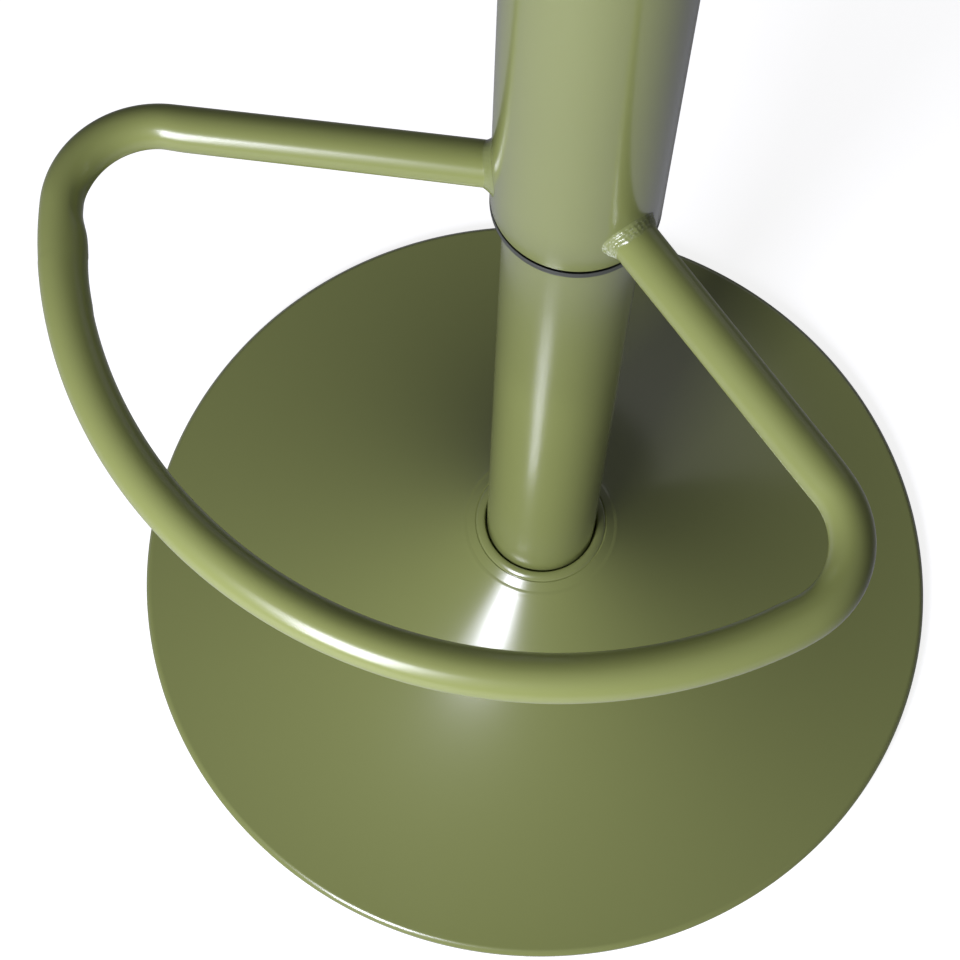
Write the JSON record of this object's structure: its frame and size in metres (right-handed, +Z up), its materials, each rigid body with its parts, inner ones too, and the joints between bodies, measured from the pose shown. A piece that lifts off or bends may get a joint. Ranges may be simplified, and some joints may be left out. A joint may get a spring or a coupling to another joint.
{
  "type": "bar stool",
  "caption": "Gas-lift swivel bar stool: round trumpet base, column in a sliding sleeve, bent foot loop, round padded seat and release lever.",
  "frame": {"origin": "centre of the round base, on the floor", "axes": "+Z up along the column, -Y the front where the foot loop stands out, -X towards the release lever"},
  "size_m": [0.385, 0.385, 0.846],
  "materials": {
    "olive_steel": "semi-gloss olive powder coat",
    "bare_steel": "plain zinc-plated",
    "black_steel": "satin black",
    "black_plastic": "matt moulded",
    "grey_plastic": "matt moulded",
    "rubber": "matt",
    "wood": "raw plywood",
    "black_cloth": "thin bonded cloth",
    "foam": "open-cell foam",
    "upholstery": "olive leatherette, fine grain"
  },
  "bodies": {
    "base": {"floor_ring": "rubber", "base_cover": "olive_steel", "ballast_plate": "bare_steel", "foot_bolts": "bare_steel", "foot_flange": "bare_steel", "column_tube": "olive_steel", "column_weld": "bare_steel", "guide_bush": "black_plastic", "lower_race": "bare_steel"},
    "spindle": {"piston_rod": "bare_steel", "rod_clip": "bare_steel", "upper_race": "bare_steel", "bearing_cage": "black_plastic", "bearing_balls": "bare_steel", "bump_stop": "rubber", "piston": "black_plastic", "piston_ring": "rubber"},
    "carriage": {"sleeve_tube": "olive_steel", "footrest_tube": "olive_steel", "footrest_welds": "olive_steel", "rod_guide": "bare_steel", "lever_pin": "bare_steel", "plate_bolts": "bare_steel", "plate_washers": "bare_steel", "tee_nuts": "bare_steel", "pressure_tube": "black_steel", "taper_socket": "black_steel", "socket_weld": "black_steel", "seat_plate": "black_steel", "lever_bracket": "black_steel", "sleeve_hub": "black_steel", "valve_body": "black_plastic", "glide_ring": "grey_plastic", "rod_seal": "rubber", "seat_board": "wood", "dust_cover": "black_cloth", "seat_foam": "foam", "seat_cover": "upholstery"},
    "lever": {"lever_rod": "bare_steel", "lever_grip": "black_plastic"},
    "valve": {"valve_button": "bare_steel"}
  },
  "joints": [
    {"name": "swivel", "type": "hinge", "parent": "base", "child": "spindle", "pos_m": [0, 0, 0], "axis": [0, 0, 1], "continuous": true},
    {"name": "lift", "type": "slide", "parent": "spindle", "child": "carriage", "axis": [0, 0, 1], "range_m": [-0.21, 0]},
    {"name": "lever_tilt", "type": "hinge", "parent": "carriage", "child": "lever", "pos_m": [-0.032, 0, 0.7583], "axis": [0, 1, 0], "range_deg": [0, 5.5], "stiffness_Nm_per_rad": 4, "springref_deg": -3.44},
    {"name": "valve_press", "type": "slide", "parent": "carriage", "child": "valve", "axis": [0, 0, -1], "range_m": [0, 0.0031], "stiffness_N_per_m": 800, "springref_m": -0.001}
  ],
  "couplings": [
    {"joint": "valve_press", "follows": "lever_tilt", "m_per_rad": 0.032}
  ]
}
